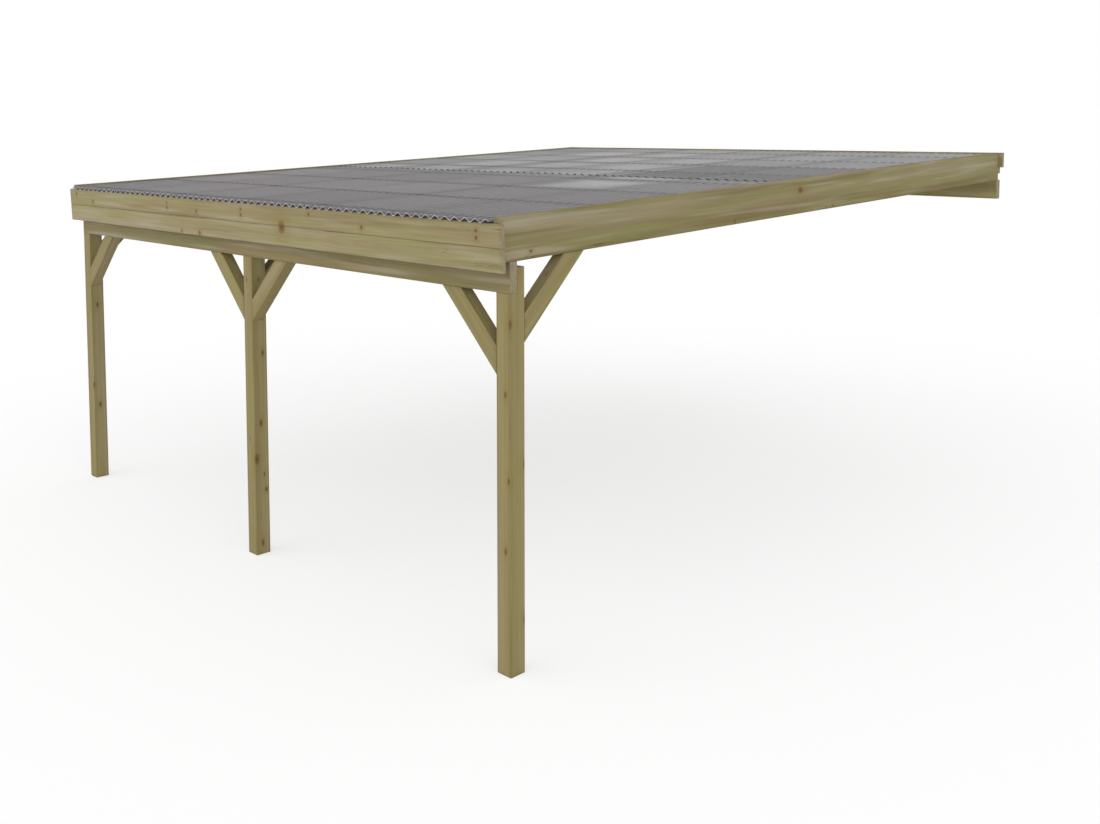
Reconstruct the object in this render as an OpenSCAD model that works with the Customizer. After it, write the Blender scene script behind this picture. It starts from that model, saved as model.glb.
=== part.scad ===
/* [Posts] */
// Side of the square posts
post_side = 100; // [80:5:140]
// Distance between the centres of neighbouring posts
bay = 2375; // [1900:25:2500]
// Distance that the posts' tops stop short of the beam's top
post_drop = 28; // [5:1:60]

/* [Frame] */
// Height of the front beam's underside above the ground
beam_underside = 1930; // [1800:10:2300]
// Height of the front beam
beam_height = 158; // [120:1:200]
// Thickness of the front beam, let into the posts
beam_thickness = 50; // [40:1:70]
// Height of the beam on the wall
wall_beam_height = 155; // [120:1:200]
// Thickness of the beam on the wall
wall_beam_thickness = 60; // [50:1:90]
// Distance from the outer face of the posts to the wall
depth = 5550; // [5300:10:5750]

/* [Roof timbers] */
// Fall of the roof towards the front, in degrees
fall = 2.45; // [1.5:0.05:5]
// Thickness of the rafters and side boards
rafter_thickness = 45; // [38:1:60]
// Height of the rafters
rafter_height = 145; // [120:1:180]
// Height of the boards that close the roof at both sides
side_board_height = 225; // [215:1:260]
// Height of the battens under the sheets
batten_height = 50; // [38:1:60]
// Width of the battens
batten_width = 60; // [40:1:80]
// Spacing of the battens, up the slope
batten_pitch = 715; // [700:1:725]

/* [Boards at the eaves and the wall] */
// Height of each of the two boards at the eaves
fascia_height = 120; // [100:1:130]
// Thickness of the boards at the eaves
fascia_thickness = 20; // [16:1:28]
// Distance that they stand past the posts at each end
end_overhang = 30; // [0:1:60]
// Height of the board along the wall
rear_board_height = 120; // [100:1:140]
// Thickness of the board and the strip along the wall
rear_thickness = 36; // [25:1:45]
// Height of the strip under that board
wall_strip_height = 50; // [38:1:60]

/* [Braces] */
// Distance that a brace reaches along the post and along the beam
brace_reach = 410; // [300:5:500]
// Width of a brace
brace_width = 100; // [80:1:120]
// Thickness of a brace
brace_thickness = 75; // [45:1:90]

/* [Corrugated sheets] */
// Pitch of the corrugations
wave_pitch = 76; // [70:1:80]
// Height of the corrugations
wave_height = 18; // [12:1:22]
// Thickness of the sheets
sheet_thickness = 1.5; // [1:0.1:2]
// Straight pieces that make up one corrugation
wave_steps = 8; // [6:2:12]
// Corrugations that one sheet covers, an odd number
cover_waves = 11; // [11:2:11]
// Distance up the slope to the upper course's lower edge
lap_start = 2380; // [2250:10:2500]
// Length of the lap between the two courses
lap_length = 440; // [200:10:460]

/* [Hidden] */
// Lengths and levels that follow from the sizes above. The ground is z = 0, the posts' outer face is y = 0,
// and x = 0 is the middle post's centre, until the whole model is placed on the wall face.
row_length = 2 * bay + post_side;
half_row = row_length / 2;
beam_top = beam_underside + beam_height;
seat_depth = 2.6;
rafter_line = beam_top - seat_depth;
post_top = beam_top - post_drop;
eaves_u = -75;
rafter_start_u = eaves_u + fascia_thickness;
rafter_end_y = depth - rear_thickness;
wall_beam_front = depth - wall_beam_thickness;
wall_beam_top = rafter_line + wall_beam_front * tan(fall) + seat_depth;
wall_beam_bottom = wall_beam_top - wall_beam_height;
deck_v = rafter_height + batten_height;
fascia_groove_v = deck_v - fascia_height;
rear_board_top = rafter_line + rafter_end_y * tan(fall) + side_board_height / cos(fall) - 1;
rear_board_bottom = rear_board_top - rear_board_height;
inner_rafters = 5;
rafter_pitch = (row_length - rafter_thickness) / (inner_rafters + 1);
inner_half = half_row - rafter_thickness;
mount_z = (wall_beam_top + wall_beam_bottom) / 2;

// Places along the slope
first_batten_u = 5;
last_batten_u = (rafter_end_y - batten_width / 2 - 4) / cos(fall);
batten_places = concat([for (i = [0:7]) first_batten_u + i * batten_pitch], [last_batten_u]);
sheet_lip = 12;
lower_course_start = eaves_u - sheet_lip;
lower_course_end = lap_start + lap_length;
upper_course_end = (rafter_end_y - 6) / cos(fall);
sheet_gap = 2;
cover = cover_waves * wave_pitch;
lap_half = wave_pitch / 2;
sheets_across = 6;
course_lift = 2 * sheet_thickness;
course_tilt = atan(course_lift / (upper_course_end - lower_course_end));

timber = "#9c9068";
beam_timber = "#81775a";
rafter_timber = "#8c835f";
board_timber = "#9a8f6b";
sheet_smoke = [0.5, 0.49, 0.48, 0.75];

// Sets the whole model on its origin, the centre of the wall beam's back face.
module on_wall_face() {
    translate([0, -depth, -mount_z]) children();
}

// Turns the slope's own axes into the model's: x along the row, y up the slope, z square to it.
module on_slope() {
    translate([0, 0, rafter_line]) rotate([fall, 0, 0]) children();
}

// A square post, with its top cut away on the outer side where the front beam sits in it.
module post(x) {
    color(timber)
        on_wall_face()
            difference() {
                translate([x - post_side / 2, 0, 0])
                    cube([post_side, post_side, post_top]);
                translate([x - post_side, -1, beam_underside])
                    cube([2 * post_side, beam_thickness + 1, beam_height + 1]);
            }
}

module front_beam() {
    color(beam_timber)
        on_wall_face()
            translate([-half_row, 0, beam_underside])
                cube([row_length, beam_thickness, beam_height]);
}

module wall_beam() {
    color(beam_timber)
        on_wall_face()
            translate([-half_row, wall_beam_front, wall_beam_bottom])
                cube([row_length, wall_beam_thickness, wall_beam_height]);
}

// Outline of a rafter in the y-z plane: its foot is square to the slope and its head is upright at the wall.
function rafter_outline(height) = let(
    foot = [rafter_start_u * cos(fall), rafter_line + rafter_start_u * sin(fall)],
    head_z = rafter_line + rafter_end_y * tan(fall)
) [
    foot,
    [rafter_end_y, head_z],
    [rafter_end_y, head_z + height / cos(fall)],
    foot + height * [-sin(fall), cos(fall)]
];

// A rafter or side board, with a shallow seat cut where it lies on each beam.
module rafter(x, height) {
    color(rafter_timber)
        on_wall_face()
            difference() {
                translate([x - rafter_thickness / 2, 0, 0])
                    rotate([90, 0, 90])
                        linear_extrude(rafter_thickness) polygon(rafter_outline(height));
                translate([x - rafter_thickness, 0, beam_top - beam_height])
                    cube([2 * rafter_thickness, beam_thickness, beam_height]);
                translate([x - rafter_thickness, wall_beam_front, wall_beam_bottom])
                    cube([2 * rafter_thickness, wall_beam_thickness, wall_beam_height]);
            }
}

module inner_rafter(number) {
    rafter((number - (inner_rafters + 1) / 2) * rafter_pitch, rafter_height);
}

module side_board(side) {
    rafter(side * (half_row - rafter_thickness / 2), side_board_height);
}

module batten(number) {
    color(timber)
        on_wall_face()
            on_slope()
                translate([-inner_half, batten_places[number - 1] - batten_width / 2, rafter_height])
                    cube([2 * inner_half, batten_width, batten_height]);
}

module fascia(lower_edge) {
    color(board_timber)
        on_wall_face()
            on_slope()
                translate([-half_row - end_overhang, eaves_u, lower_edge])
                    cube([row_length + 2 * end_overhang, fascia_thickness, fascia_height]);
}

module rear_board() {
    color(board_timber)
        on_wall_face()
            translate([-half_row - end_overhang, rafter_end_y, rear_board_bottom])
                cube([row_length + 2 * end_overhang, rear_thickness, rear_board_height]);
}

module wall_strip() {
    color(timber)
        on_wall_face()
            translate([-half_row, rafter_end_y, rear_board_bottom - wall_strip_height])
                cube([row_length, rear_thickness, wall_strip_height]);
}

// Outline of a brace that leans from a post at the origin, along +x, to a beam whose underside is y = top(x).
function brace_outline(reach, rise) = let(inner = reach - brace_width * sqrt(2)) [
    [0, -reach],
    [reach + reach * rise / (1 - rise), reach * rise / (1 - rise)],
    [inner + inner * rise / (1 - rise), inner * rise / (1 - rise)],
    [0, -inner]
];

// A brace between a post and the front beam. side is the way it leans along the row.
module row_brace(post_x, side) {
    color(timber)
        on_wall_face()
            translate([post_x + side * post_side / 2, 0, beam_underside])
                mirror([side > 0 ? 0 : 1, 0, 0])
                    translate([0, brace_thickness, 0])
                        rotate([90, 0, 0])
                            linear_extrude(brace_thickness) polygon(brace_outline(brace_reach, 0));
}

// A brace between a post and the rafter over it, leaning towards the wall.
module rear_brace(centre_x) {
    top_at_post = rafter_line + post_side * tan(fall);
    color(timber)
        on_wall_face()
            translate([centre_x - brace_thickness / 2, post_side, top_at_post])
                rotate([90, 0, 90])
                    linear_extrude(brace_thickness) polygon(brace_outline(brace_reach, tan(fall)));
}

// Height of the corrugations across the row; x = 0 is a crest.
function wave(x) = wave_height / 2 * (1 + cos(360 * x / wave_pitch));

// Section of the sheet between two places across the row.
function sheet_section(from, to) = let(
    step = wave_pitch / wave_steps,
    inside = [for (i = [ceil(from / step + 0.01) : floor(to / step - 0.01)]) i * step],
    across = concat([from], inside, [to]),
    last = len(across) - 1
) concat(
    [for (x = across) [x, wave(x)]],
    [for (i = [last:-1:0]) [across[i], wave(across[i]) + sheet_thickness]]
);

// Places where sheet number 1 to 6 begins and ends across the row: neighbours share one corrugation.
function sheet_from(number) =
    number == 1 ? -inner_half + sheet_gap : (number - 1 - sheets_across / 2) * cover - lap_half;
function sheet_to(number) =
    number == sheets_across ? inner_half - sheet_gap : (number - sheets_across / 2) * cover + lap_half;

// One sheet. Every second sheet lies on both its neighbours.
module sheet(number, length) {
    color(sheet_smoke)
        translate([0, length, sheet_thickness * ((number - 1) % 2)])
            rotate([90, 0, 0])
                linear_extrude(length) polygon(sheet_section(sheet_from(number), sheet_to(number)));
}

module sheet_lower(number) {
    on_wall_face()
        on_slope()
            translate([0, lower_course_start, deck_v])
                sheet(number, lower_course_end - lower_course_start);
}

// The upper course rests on the last batten and, at its lower end, on the lower course.
module sheet_upper(number) {
    length = upper_course_end - lap_start;
    on_wall_face()
        on_slope()
            translate([0, upper_course_end, deck_v])
                rotate([-course_tilt, 0, 0])
                    translate([0, -length, 0])
                        sheet(number, length);
}

post(-bay);  // post_left
post(0);  // post_middle
post(bay);  // post_right
front_beam();
wall_beam();
row_brace(-bay, 1);  // brace_left_post_side
row_brace(0, -1);  // brace_middle_post_left
row_brace(0, 1);  // brace_middle_post_right
row_brace(bay, -1);  // brace_right_post_side
rear_brace(-half_row + brace_thickness / 2);  // brace_left_post_rear
rear_brace(0);  // brace_middle_post_rear
rear_brace(half_row - brace_thickness / 2);  // brace_right_post_rear
side_board(-1);  // side_board_left
side_board(1);  // side_board_right
for (i = [1:5]) inner_rafter(i);
for (i = [1:9]) batten(i);
fascia(fascia_groove_v);  // fascia_upper
fascia(fascia_groove_v - fascia_height);  // fascia_lower
rear_board();
wall_strip();
for (i = [1:6]) sheet_lower(i);
for (i = [1:6]) sheet_upper(i);
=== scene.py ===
# %% [markdown]
# # A lean-to carport in Blender
# The carport is a row of three posts with a beam, a second beam on the house wall, and a low
# roof of corrugated plastic between them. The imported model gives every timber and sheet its
# place and size. This script gives them rounded edges, grain, knots, end grain, screws and
# light. The frame is loaded first, because every later step measures from it.

# %% Open the frame
import math

import bpy
import numpy as np
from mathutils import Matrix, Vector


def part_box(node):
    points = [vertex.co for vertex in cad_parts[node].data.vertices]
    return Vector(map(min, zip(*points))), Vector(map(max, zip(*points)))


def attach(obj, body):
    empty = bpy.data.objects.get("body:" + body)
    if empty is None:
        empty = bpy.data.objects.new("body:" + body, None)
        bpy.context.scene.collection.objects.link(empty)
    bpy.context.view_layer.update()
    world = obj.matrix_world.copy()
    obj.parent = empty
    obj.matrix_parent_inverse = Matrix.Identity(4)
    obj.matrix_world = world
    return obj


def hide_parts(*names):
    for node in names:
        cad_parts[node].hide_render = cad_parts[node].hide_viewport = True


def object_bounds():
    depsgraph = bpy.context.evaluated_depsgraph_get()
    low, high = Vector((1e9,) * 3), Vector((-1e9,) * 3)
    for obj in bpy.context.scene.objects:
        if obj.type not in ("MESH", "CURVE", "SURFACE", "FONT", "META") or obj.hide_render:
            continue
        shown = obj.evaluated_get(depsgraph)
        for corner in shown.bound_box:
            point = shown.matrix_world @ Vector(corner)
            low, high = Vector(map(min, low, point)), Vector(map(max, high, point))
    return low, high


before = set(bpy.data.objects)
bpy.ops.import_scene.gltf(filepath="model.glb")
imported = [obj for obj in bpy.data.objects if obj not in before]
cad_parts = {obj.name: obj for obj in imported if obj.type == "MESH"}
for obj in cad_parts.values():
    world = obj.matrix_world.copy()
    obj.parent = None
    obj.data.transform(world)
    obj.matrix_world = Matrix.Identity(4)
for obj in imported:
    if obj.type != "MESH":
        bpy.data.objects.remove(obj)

cad_low, cad_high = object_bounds()
ground = cad_low[2]
print("the frame is", [round(v, 3) for v in (cad_high - cad_low)], "m")
print("the ground is at", round(ground, 3))

# %% [markdown]
# ## The slope's own directions
# The roof falls towards the posts, so its timbers don't run along the world's axes. The line from one
# batten to another of the same shape is the slope, and three unit vectors come from it: along the
# row, up the slope, and square to the roof. Everything on the roof is measured along these three.

# %% Measure the slope
row_way = np.array([1.0, 0.0, 0.0])
wall_way = np.array([0.0, 1.0, 0.0])
upright = np.array([0.0, 0.0, 1.0])


def middle(node):
    """The middle of a node's box: half the sum of its lowest and highest corners."""
    low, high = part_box(node)
    return (np.array(low) + np.array(high)) / 2


up_slope = middle("batten_8") - middle("batten_1")
up_slope /= np.linalg.norm(up_slope)
off_roof = np.cross(row_way, up_slope)
print("the roof falls", round(math.degrees(math.asin(up_slope[2])), 2), "degrees")

# %% [markdown]
# ## Reading a timber from the frame
# A timber is a bar with four long edges, and its ends may be cut at any angle. Turned into the bar's own
# axes, its corners tell where each of the four edges starts and stops. That is all a new, finer bar needs.

# %% Where a timber's four edges start and stop
# A shallow seat is cut where a rafter lies on a beam; a corner this near to an edge still belongs to it.
SEAT = 0.004


def cad_points(node):
    """The node's corners as an array with one row for each corner."""
    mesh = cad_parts[node].data
    flat = np.empty(len(mesh.vertices) * 3)
    mesh.vertices.foreach_get("co", flat)
    return flat.reshape(-1, 3)


def timber_edges(node, axes):
    """Low and high corner of the bar's section, and the start and stop of its four edges.

    A corner's place in the bar's axes is its point times the axes' matrix. An edge's start and stop are the
    least and greatest distance along the bar among the corners that lie on that edge, give or take a seat.
    """
    local = cad_points(node) @ axes.T
    low, high = local[:, 1:].min(axis=0), local[:, 1:].max(axis=0)
    stops = np.empty((2, 2, 2))
    for i, across in enumerate((low[0], high[0])):
        for j, through in enumerate((low[1], high[1])):
            near = np.abs(local[:, 1:] - (across, through)).max(axis=1) < SEAT
            stops[i, j] = local[near, 0].min(), local[near, 0].max()
    return low, high, stops


# %% [markdown]
# ## A bar with soft edges
# Planed timber never has a sharp edge: the planer takes it off, and that thin round catches the light.
# One way is a Bevel modifier on a box. Here the bar is a profile carried along a path instead, because
# the same rule then gives slanted cuts, and each point can carry its place in the log for the grain.

# %% The profile with its rounded corners
ARC_STEPS = 4
EDGE_BAND = 0.014
rng = np.random.default_rng(11)


def rounded_profile(low, high, radius):
    """Points round a rectangle: each corner is corner centre + radius * (cos a, sin a).

    Beside each corner a point lies on the flat on either side, EDGE_BAND away. The second array is 1 on a
    corner and 0 on a flat, so that a finish can tell the edges of the timber from its faces.
    """
    angle = np.linspace(0, math.pi / 2, ARC_STEPS)
    arc = np.stack([np.cos(angle), np.sin(angle)], axis=1) * radius
    band = min(EDGE_BAND, 0.3 * float((high - low).min()))
    arc = np.concatenate([[(radius, -band)], arc, [(-band, radius)]])
    turn = np.array([[0.0, 1.0], [-1.0, 0.0]])
    inner_low, inner_high = low + radius, high - radius
    centres = [inner_high, (inner_low[0], inner_high[1]), inner_low, (inner_high[0], inner_low[1])]
    points = [centre + arc @ np.linalg.matrix_power(turn, k) for k, centre in enumerate(centres)]
    corner = np.tile([0.0] + [1.0] * ARC_STEPS + [0.0], 4)
    return np.concatenate(points), corner


# %% Faces between rings of points
def grid_faces(rows, columns):
    """Four-sided faces of a grid whose columns close into a ring."""
    index = np.arange(rows * columns).reshape(rows, columns)
    beside = np.roll(index, -1, axis=1)
    quads = np.stack([index[:-1], beside[:-1], beside[1:], index[1:]], axis=-1)
    return quads.reshape(-1, 4).tolist()


def fan_faces(ring, centre, outward):
    """Triangles from a ring of point numbers to one point in its middle."""
    beside = np.roll(ring, -1)
    order = (beside, ring) if outward else (ring, beside)
    return np.stack([order[0], order[1], np.full(len(ring), centre)], axis=1).tolist()


# %% Points and faces into a piece
def new_object(name, data):
    """A mesh, lamp or camera as an object in the scene."""
    made = bpy.data.objects.new(name, data)
    bpy.context.scene.collection.objects.link(made)
    return made


def surface(name, points, faces):
    """A mesh object at the origin, with its place in its points."""
    mesh = bpy.data.meshes.new(name)
    mesh.from_pydata(points.tolist(), [], faces)
    return new_object(name, mesh)


def make_piece(name, points, sides, ends=(), smooth=False):
    """A surface that rides on the frame; its ends are flat and take the piece's second finish."""
    piece = surface(name, points, [*sides, *ends])
    is_end = np.arange(len(sides) + len(ends)) >= len(sides)
    piece.data.polygons.foreach_set("material_index", is_end.astype(np.int32))
    piece.data.polygons.foreach_set("use_smooth", ~is_end & smooth)
    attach(piece, "root")
    return piece


def keep_on_points(piece, name, kind, values):
    """Keeps a number ("FLOAT") or a vector ("FLOAT_VECTOR") on every point of a piece."""
    keep = piece.data.attributes.new(name, kind, "POINT")
    keep.data.foreach_set("value" if kind == "FLOAT" else "vector", np.ravel(values))


# %% Mixing the four edges and closing the ends
# How far the ends are drawn in, how far the ends' wear reaches, and the length of log that bars are cut from.
END_ROUND = 0.0015
END_BAND = 0.03
LOG_LENGTH = 40


def edge_mix(stops, share):
    """The four edges' values mixed by how far a point is across and through the bar (bilinear)."""
    a, t = share[:, 0], share[:, 1]
    near = stops[0, 0] * (1 - a) * (1 - t) + stops[1, 0] * a * (1 - t)
    return near + stops[0, 1] * (1 - a) * t + stops[1, 1] * a * t


def close_bar(node, points, corner, rings, grain):
    """Closes a stack of rings with a fan at each end, and keeps the grain and the worn edges on the points.

    The two rings by each end are worn all round, and the rings between them only on the corners.
    """
    count = len(corner)
    worn = np.ones(2 * count)
    edge = np.concatenate([worn, np.tile(corner, rings - 4), worn, [0.0, 0.0]])
    ends = fan_faces(np.arange(count), rings * count, outward=True)
    ends += fan_faces(np.arange(count) + (rings - 1) * count, rings * count + 1, outward=False)
    piece = make_piece(node + "_timber", points, grid_faces(rings, count), ends)
    keep_on_points(piece, "grain", "FLOAT_VECTOR", grain)
    keep_on_points(piece, "edge", "FLOAT", edge)
    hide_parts(node)
    return piece


# %% From one end cut to the other
def timber(node, axes, radius, heart, rows=6):
    """A rounded profile carried from one end cut to the other.

    Point = along * s + across * a + through * t, where (a, t) runs round the profile and s goes from the
    first cut to the second. The first and last rings are drawn in a little, which rounds the end cuts. heart
    is the log's centre line, measured from the bar's middle, and each point's place from it is kept for the
    grain.
    """
    low, high, stops = timber_edges(node, axes)
    wide, corner = rounded_profile(low, high, radius)
    tight, _ = rounded_profile(low + END_ROUND, high - END_ROUND, max(radius - END_ROUND, 0.0005))
    share = np.clip((wide - low) / (high - low), 0, 1)
    start, stop = edge_mix(stops[..., 0], share), edge_mix(stops[..., 1], share)
    inner = [start + END_BAND + (stop - start - 2 * END_BAND) * k for k in np.linspace(0, 1, rows)]
    along = [start, start + END_ROUND, *inner, stop - END_ROUND, stop]
    sections = [tight] + [wide] * (rows + 2) + [tight]
    local = np.concatenate([np.column_stack([s, p]) for s, p in zip(along, sections)])
    centre = (low + high) / 2
    caps = np.array([[start.mean(), *centre], [stop.mean(), *centre]])
    local = np.concatenate([local, caps])
    grain = local - (0, *centre) - (0, *heart) + (rng.uniform(0, LOG_LENGTH), 0, 0)
    return close_bar(node, local @ axes, corner, rows + 4, grain)


def axes_of(along, across):
    """Three rows: along the bar, across it, and through it, at right angles."""
    along = along / np.linalg.norm(along)
    across = across / np.linalg.norm(across)
    return np.stack([along, across, np.cross(along, across)])


# %% [markdown]
# ## The timbers
# Rafters and side boards run up the slope, beams and boards run along the row, posts stand. Where the
# heart of the log lies decides the figure: close to the middle of a post, well outside a thin board.

# %% Choose each timber's direction, edge and heart
def brace_axes(leans_to):
    """The axes of a brace that rises at 45 degrees towards leans_to."""
    return axes_of(upright + leans_to, upright - leans_to)


row_axes = axes_of(row_way, upright)
roof_row_axes = axes_of(row_way, off_roof)
rafter_axes = axes_of(up_slope, off_roof)

bars = {
    "front_beam": (row_axes, 0.004, "beam"),
    "wall_beam": (row_axes, 0.004, "wall beam"),
    "rear_board": (row_axes, 0.003, "board"),
    "wall_strip": (row_axes, 0.002, "batten"),
    "fascia_upper": (roof_row_axes, 0.004, "board"),
    "fascia_lower": (roof_row_axes, 0.004, "board"),
    "side_board_left": (rafter_axes, 0.004, "side board"),
    "side_board_right": (rafter_axes, 0.004, "side board"),
}
braces = {"left_post_side": row_way, "middle_post_left": -row_way, "middle_post_right": row_way,
          "right_post_side": -row_way, "left_post_rear": wall_way, "middle_post_rear": wall_way,
          "right_post_rear": wall_way}
bars.update({"brace_" + name: (brace_axes(way), 0.005, "brace") for name, way in braces.items()})
bars.update({f"rafter_{n}": (rafter_axes, 0.003, "rafter") for n in range(1, 6)})
bars.update({f"batten_{n}": (roof_row_axes, 0.002, "batten") for n in range(1, 10)})
hearts = {"side_board_left": (-0.1, 0.02), "side_board_right": (-0.1, 0.02), "front_beam": (-0.06, 0.03)}
print(len(bars), "bars to make")

# %% [markdown]
# ### Sawing them from the log
# Two boards from one log never show the same figure. Each bar gets its own heart, at a random
# place unless the list above gives one, and starts at a random place along the log. The random
# numbers have a fixed start, so every run gives the same boards.

# %% Make them
timbers = {}
for node, (axes, radius, kind) in bars.items():
    turn, reach = rng.uniform(0, 2 * math.pi), rng.uniform(0.03, 0.09)
    heart = hearts.get(node, (reach * math.cos(turn), reach * math.sin(turn)))
    timbers[node] = (timber(node, axes, radius, heart), kind)
print(len(timbers), "timbers made")

# %% [markdown]
# ## The posts
# A post is the same carried profile, but near its top the outer half is cut away for the beam. The ring of
# points stays the same: above the cut, every point that was further out is moved back to the cut's face.

# %% A post with its notch
POST_ROUND = 0.005
POST_ROWS = 6
POST_HEART = -0.045
beam_low, beam_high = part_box("front_beam")
notch_face, notch_floor = beam_high[1], beam_low[2]


def post(node):
    """Rings of one rounded profile up the post; above the notch, y is at least the beam's back face."""
    low, high = (np.array(v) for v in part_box(node))
    full, corner = rounded_profile(low[:2], high[:2], POST_ROUND)
    tight, _ = rounded_profile(low[:2] + END_ROUND, high[:2] - END_ROUND, POST_ROUND - END_ROUND)
    back, back_tight = (np.column_stack([r[:, 0], np.maximum(r[:, 1], notch_face)]) for r in (full, tight))
    foot = low[2]
    heights = [foot, foot + END_ROUND, *np.linspace(foot + END_BAND, notch_floor, POST_ROWS), notch_floor,
               high[2] - END_ROUND, high[2]]
    rings = [tight, *[full] * (POST_ROWS + 1), back, back, back_tight]
    layers = [np.column_stack([ring, np.full(len(ring), z)]) for ring, z in zip(rings, heights)]
    points = np.concatenate(layers)
    centre = (low + high) / 2
    caps = np.array([[centre[0], centre[1], foot], [centre[0], (notch_face + high[1]) / 2, high[2]]])
    points = np.concatenate([points, caps])
    heart = np.array([rng.uniform(-0.02, 0.02), POST_HEART])
    out = points - centre
    up_the_log = out[:, 2] + rng.uniform(0, LOG_LENGTH)
    grain = np.column_stack([up_the_log, out[:, 0] - heart[0], out[:, 1] - heart[1]])
    return close_bar(node, points, corner, len(rings), grain)


for node in ("post_left", "post_middle", "post_right"):
    timbers[node] = (post(node), "post")
print("posts stand", round(beam_low[2] - ground, 3), "m clear under the beam")

# %% [markdown]
# ## The corrugated sheets
# A sheet is a thin shell whose height is a cosine of the place across the row, the same all the
# way up the slope. Its pitch, height and thickness are read from the frame's own sheet, so the
# waves of neighbours nest.

# %% Measure one sheet's wave
roof_axes = np.stack([row_way, up_slope, off_roof])
sheet_cad = cad_points("sheet_lower_3") @ roof_axes.T
eaves_u = sheet_cad[:, 1].min()
eaves_end = sheet_cad[sheet_cad[:, 1] < eaves_u + 0.001]
crest_level = eaves_end[:, 2].max()
crests = np.unique(np.round(eaves_end[eaves_end[:, 2] > crest_level - 0.0002, 0], 4))
wave_pitch = float(np.diff(crests).min())
at_crest = eaves_end[np.abs(eaves_end[:, 0] - crests[0]) < 0.0005, 2]
sheet_thick = float(at_crest.max() - at_crest.min())
wave_height = float(crest_level - eaves_end[:, 2].min()) - sheet_thick
print("wave", round(wave_pitch, 4), "m long and", round(wave_height, 4), "m high")
print("sheet", round(sheet_thick, 4), "m thick")

# %% [markdown]
# ### One sheet
# A wave could be cut into a plane with an Array of one corrugation, but a formula gives the
# whole sheet at once and keeps for every point how far up the wave and up the roof it is. The
# valleys' dirt and painted shade follow exactly these two.

# %% The sheet's surface
# Steps round one wave, rows up the slope, the rim beside a cut, and the hair by which a burr leans out.
STEPS_PER_WAVE = 20
SHEET_ROWS = 14
RIM = 0.006
HAIR = 0.0001
EAVES_BURR, LAP_BURR = 0.0008, 0.002


def sheet(node, lip):
    """A shell: height = wave_height / 2 * (1 + cos(2 pi x / pitch)), and again one thickness higher.

    The section is a closed loop, out along the top and back along the underside, carried up the slope. The
    level of the valleys may rise a little from one end to the other, as it does where the courses lap. The
    saw leaves a burr, lip thick, round the lower end. Each point keeps how far it is up the wave, from 0 in
    a valley to 1 on a crest, and its distance up the roof from the eaves.
    """
    local = cad_points(node) @ roof_axes.T
    left, right = local[:, 0].min(), local[:, 0].max()
    lower, upper = local[:, 1].min(), local[:, 1].max()
    level = [local[np.abs(local[:, 1] - end) < RIM, 2].min() for end in (lower, upper)]
    steps = int(round((right - left) / wave_pitch * STEPS_PER_WAVE))
    x = np.linspace(left, right, steps + 1)
    rise_share = (1 + np.cos(2 * math.pi * x / wave_pitch)) / 2
    loop_x = np.concatenate([x, x[::-1]])
    loop_wave = np.concatenate([rise_share, rise_share[::-1]])
    loop_z = wave_height * loop_wave + np.repeat([sheet_thick, 0.0], len(x))
    inner = np.linspace(lower + 2 * RIM, upper - RIM, SHEET_ROWS - 3)
    slope = np.concatenate([[lower + HAIR, lower + RIM], inner, [upper]])[:, None] + 0 * loop_x
    rise = level[0] + (level[1] - level[0]) * (slope - lower) / (upper - lower) + loop_z
    rise[:2] += lip * np.repeat([1.0, -1.0], len(x))
    across = np.broadcast_to(loop_x, rise.shape)
    points = np.stack([across, slope, rise], axis=-1).reshape(-1, 3) @ roof_axes
    loop = len(loop_x)
    sides = [face[::-1] for face in grid_faces(SHEET_ROWS, loop)]
    top = np.arange(len(x) - 1)
    under = loop - 1 - top
    cap = np.stack([top, top + 1, under - 1, under], axis=1)
    ends = cap[:, ::-1].tolist() + (cap + (SHEET_ROWS - 1) * loop).tolist()
    piece = make_piece(node + "_wave", points, sides, ends, smooth=True)
    keep_on_points(piece, "wave", "FLOAT", np.broadcast_to(loop_wave, rise.shape))
    keep_on_points(piece, "up", "FLOAT", slope - eaves_u)
    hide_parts(node)
    return piece


# %% Both courses
lower_course = [sheet(f"sheet_lower_{n}", EAVES_BURR) for n in range(1, 7)]
upper_course = [sheet(f"sheet_upper_{n}", LAP_BURR) for n in range(1, 7)]
print(len(lower_course) + len(upper_course), "sheets made")

# %% [markdown]
# ## Screws
# The boards at the eaves are held by countersunk screws, and every sheet by screws with a wide cap on
# the crests over the battens. A screw head is a small dome: a circle drawn in step by step while it
# rises. One dome is worked out and copied as one array, so two hundred screws are still a single piece.

# %% A row of domes
RING_STEPS = 12
# Radius and height of a dome's rings, as shares of the whole; the first ring is sunk into the surface.
DOME_RINGS = np.array([(1.0, -0.6), (1.0, 0.0), (0.86, 0.55), (0.5, 0.9)])


def copies(faces, count, step):
    """The same faces again for each copy: point number + copy's number * points in one copy."""
    faces = np.array(faces)
    return (faces + step * np.arange(count)[:, None, None]).reshape(-1, faces.shape[1]).tolist()


def domes(name, seats, facing, radius, rise):
    """Domes: point = seat + radius * cos(t) * circle + rise * sin(t) * facing, t from 0 to a right angle."""
    side = np.cross(facing, (0.3, 0.5, 0.81))
    side /= np.linalg.norm(side)
    other = np.cross(facing, side)
    angle = np.linspace(0, 2 * math.pi, RING_STEPS, endpoint=False)
    circle = np.cos(angle)[:, None] * side + np.sin(angle)[:, None] * other
    rings = np.concatenate([circle * radius * r + facing * rise * h for r, h in DOME_RINGS])
    one = np.concatenate([rings, [facing * rise]])
    quads = grid_faces(len(DOME_RINGS), RING_STEPS)
    top = fan_faces(np.arange(RING_STEPS) + len(rings) - RING_STEPS, len(rings), outward=False)
    bottom = [list(range(RING_STEPS))[::-1]]
    points = (seats[:, None, :] + one).reshape(-1, 3)
    faces = [face for part in (quads, top, bottom) for face in copies(part, len(seats), len(one))]
    piece = make_piece(name, points, faces, smooth=True)
    return piece


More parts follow.
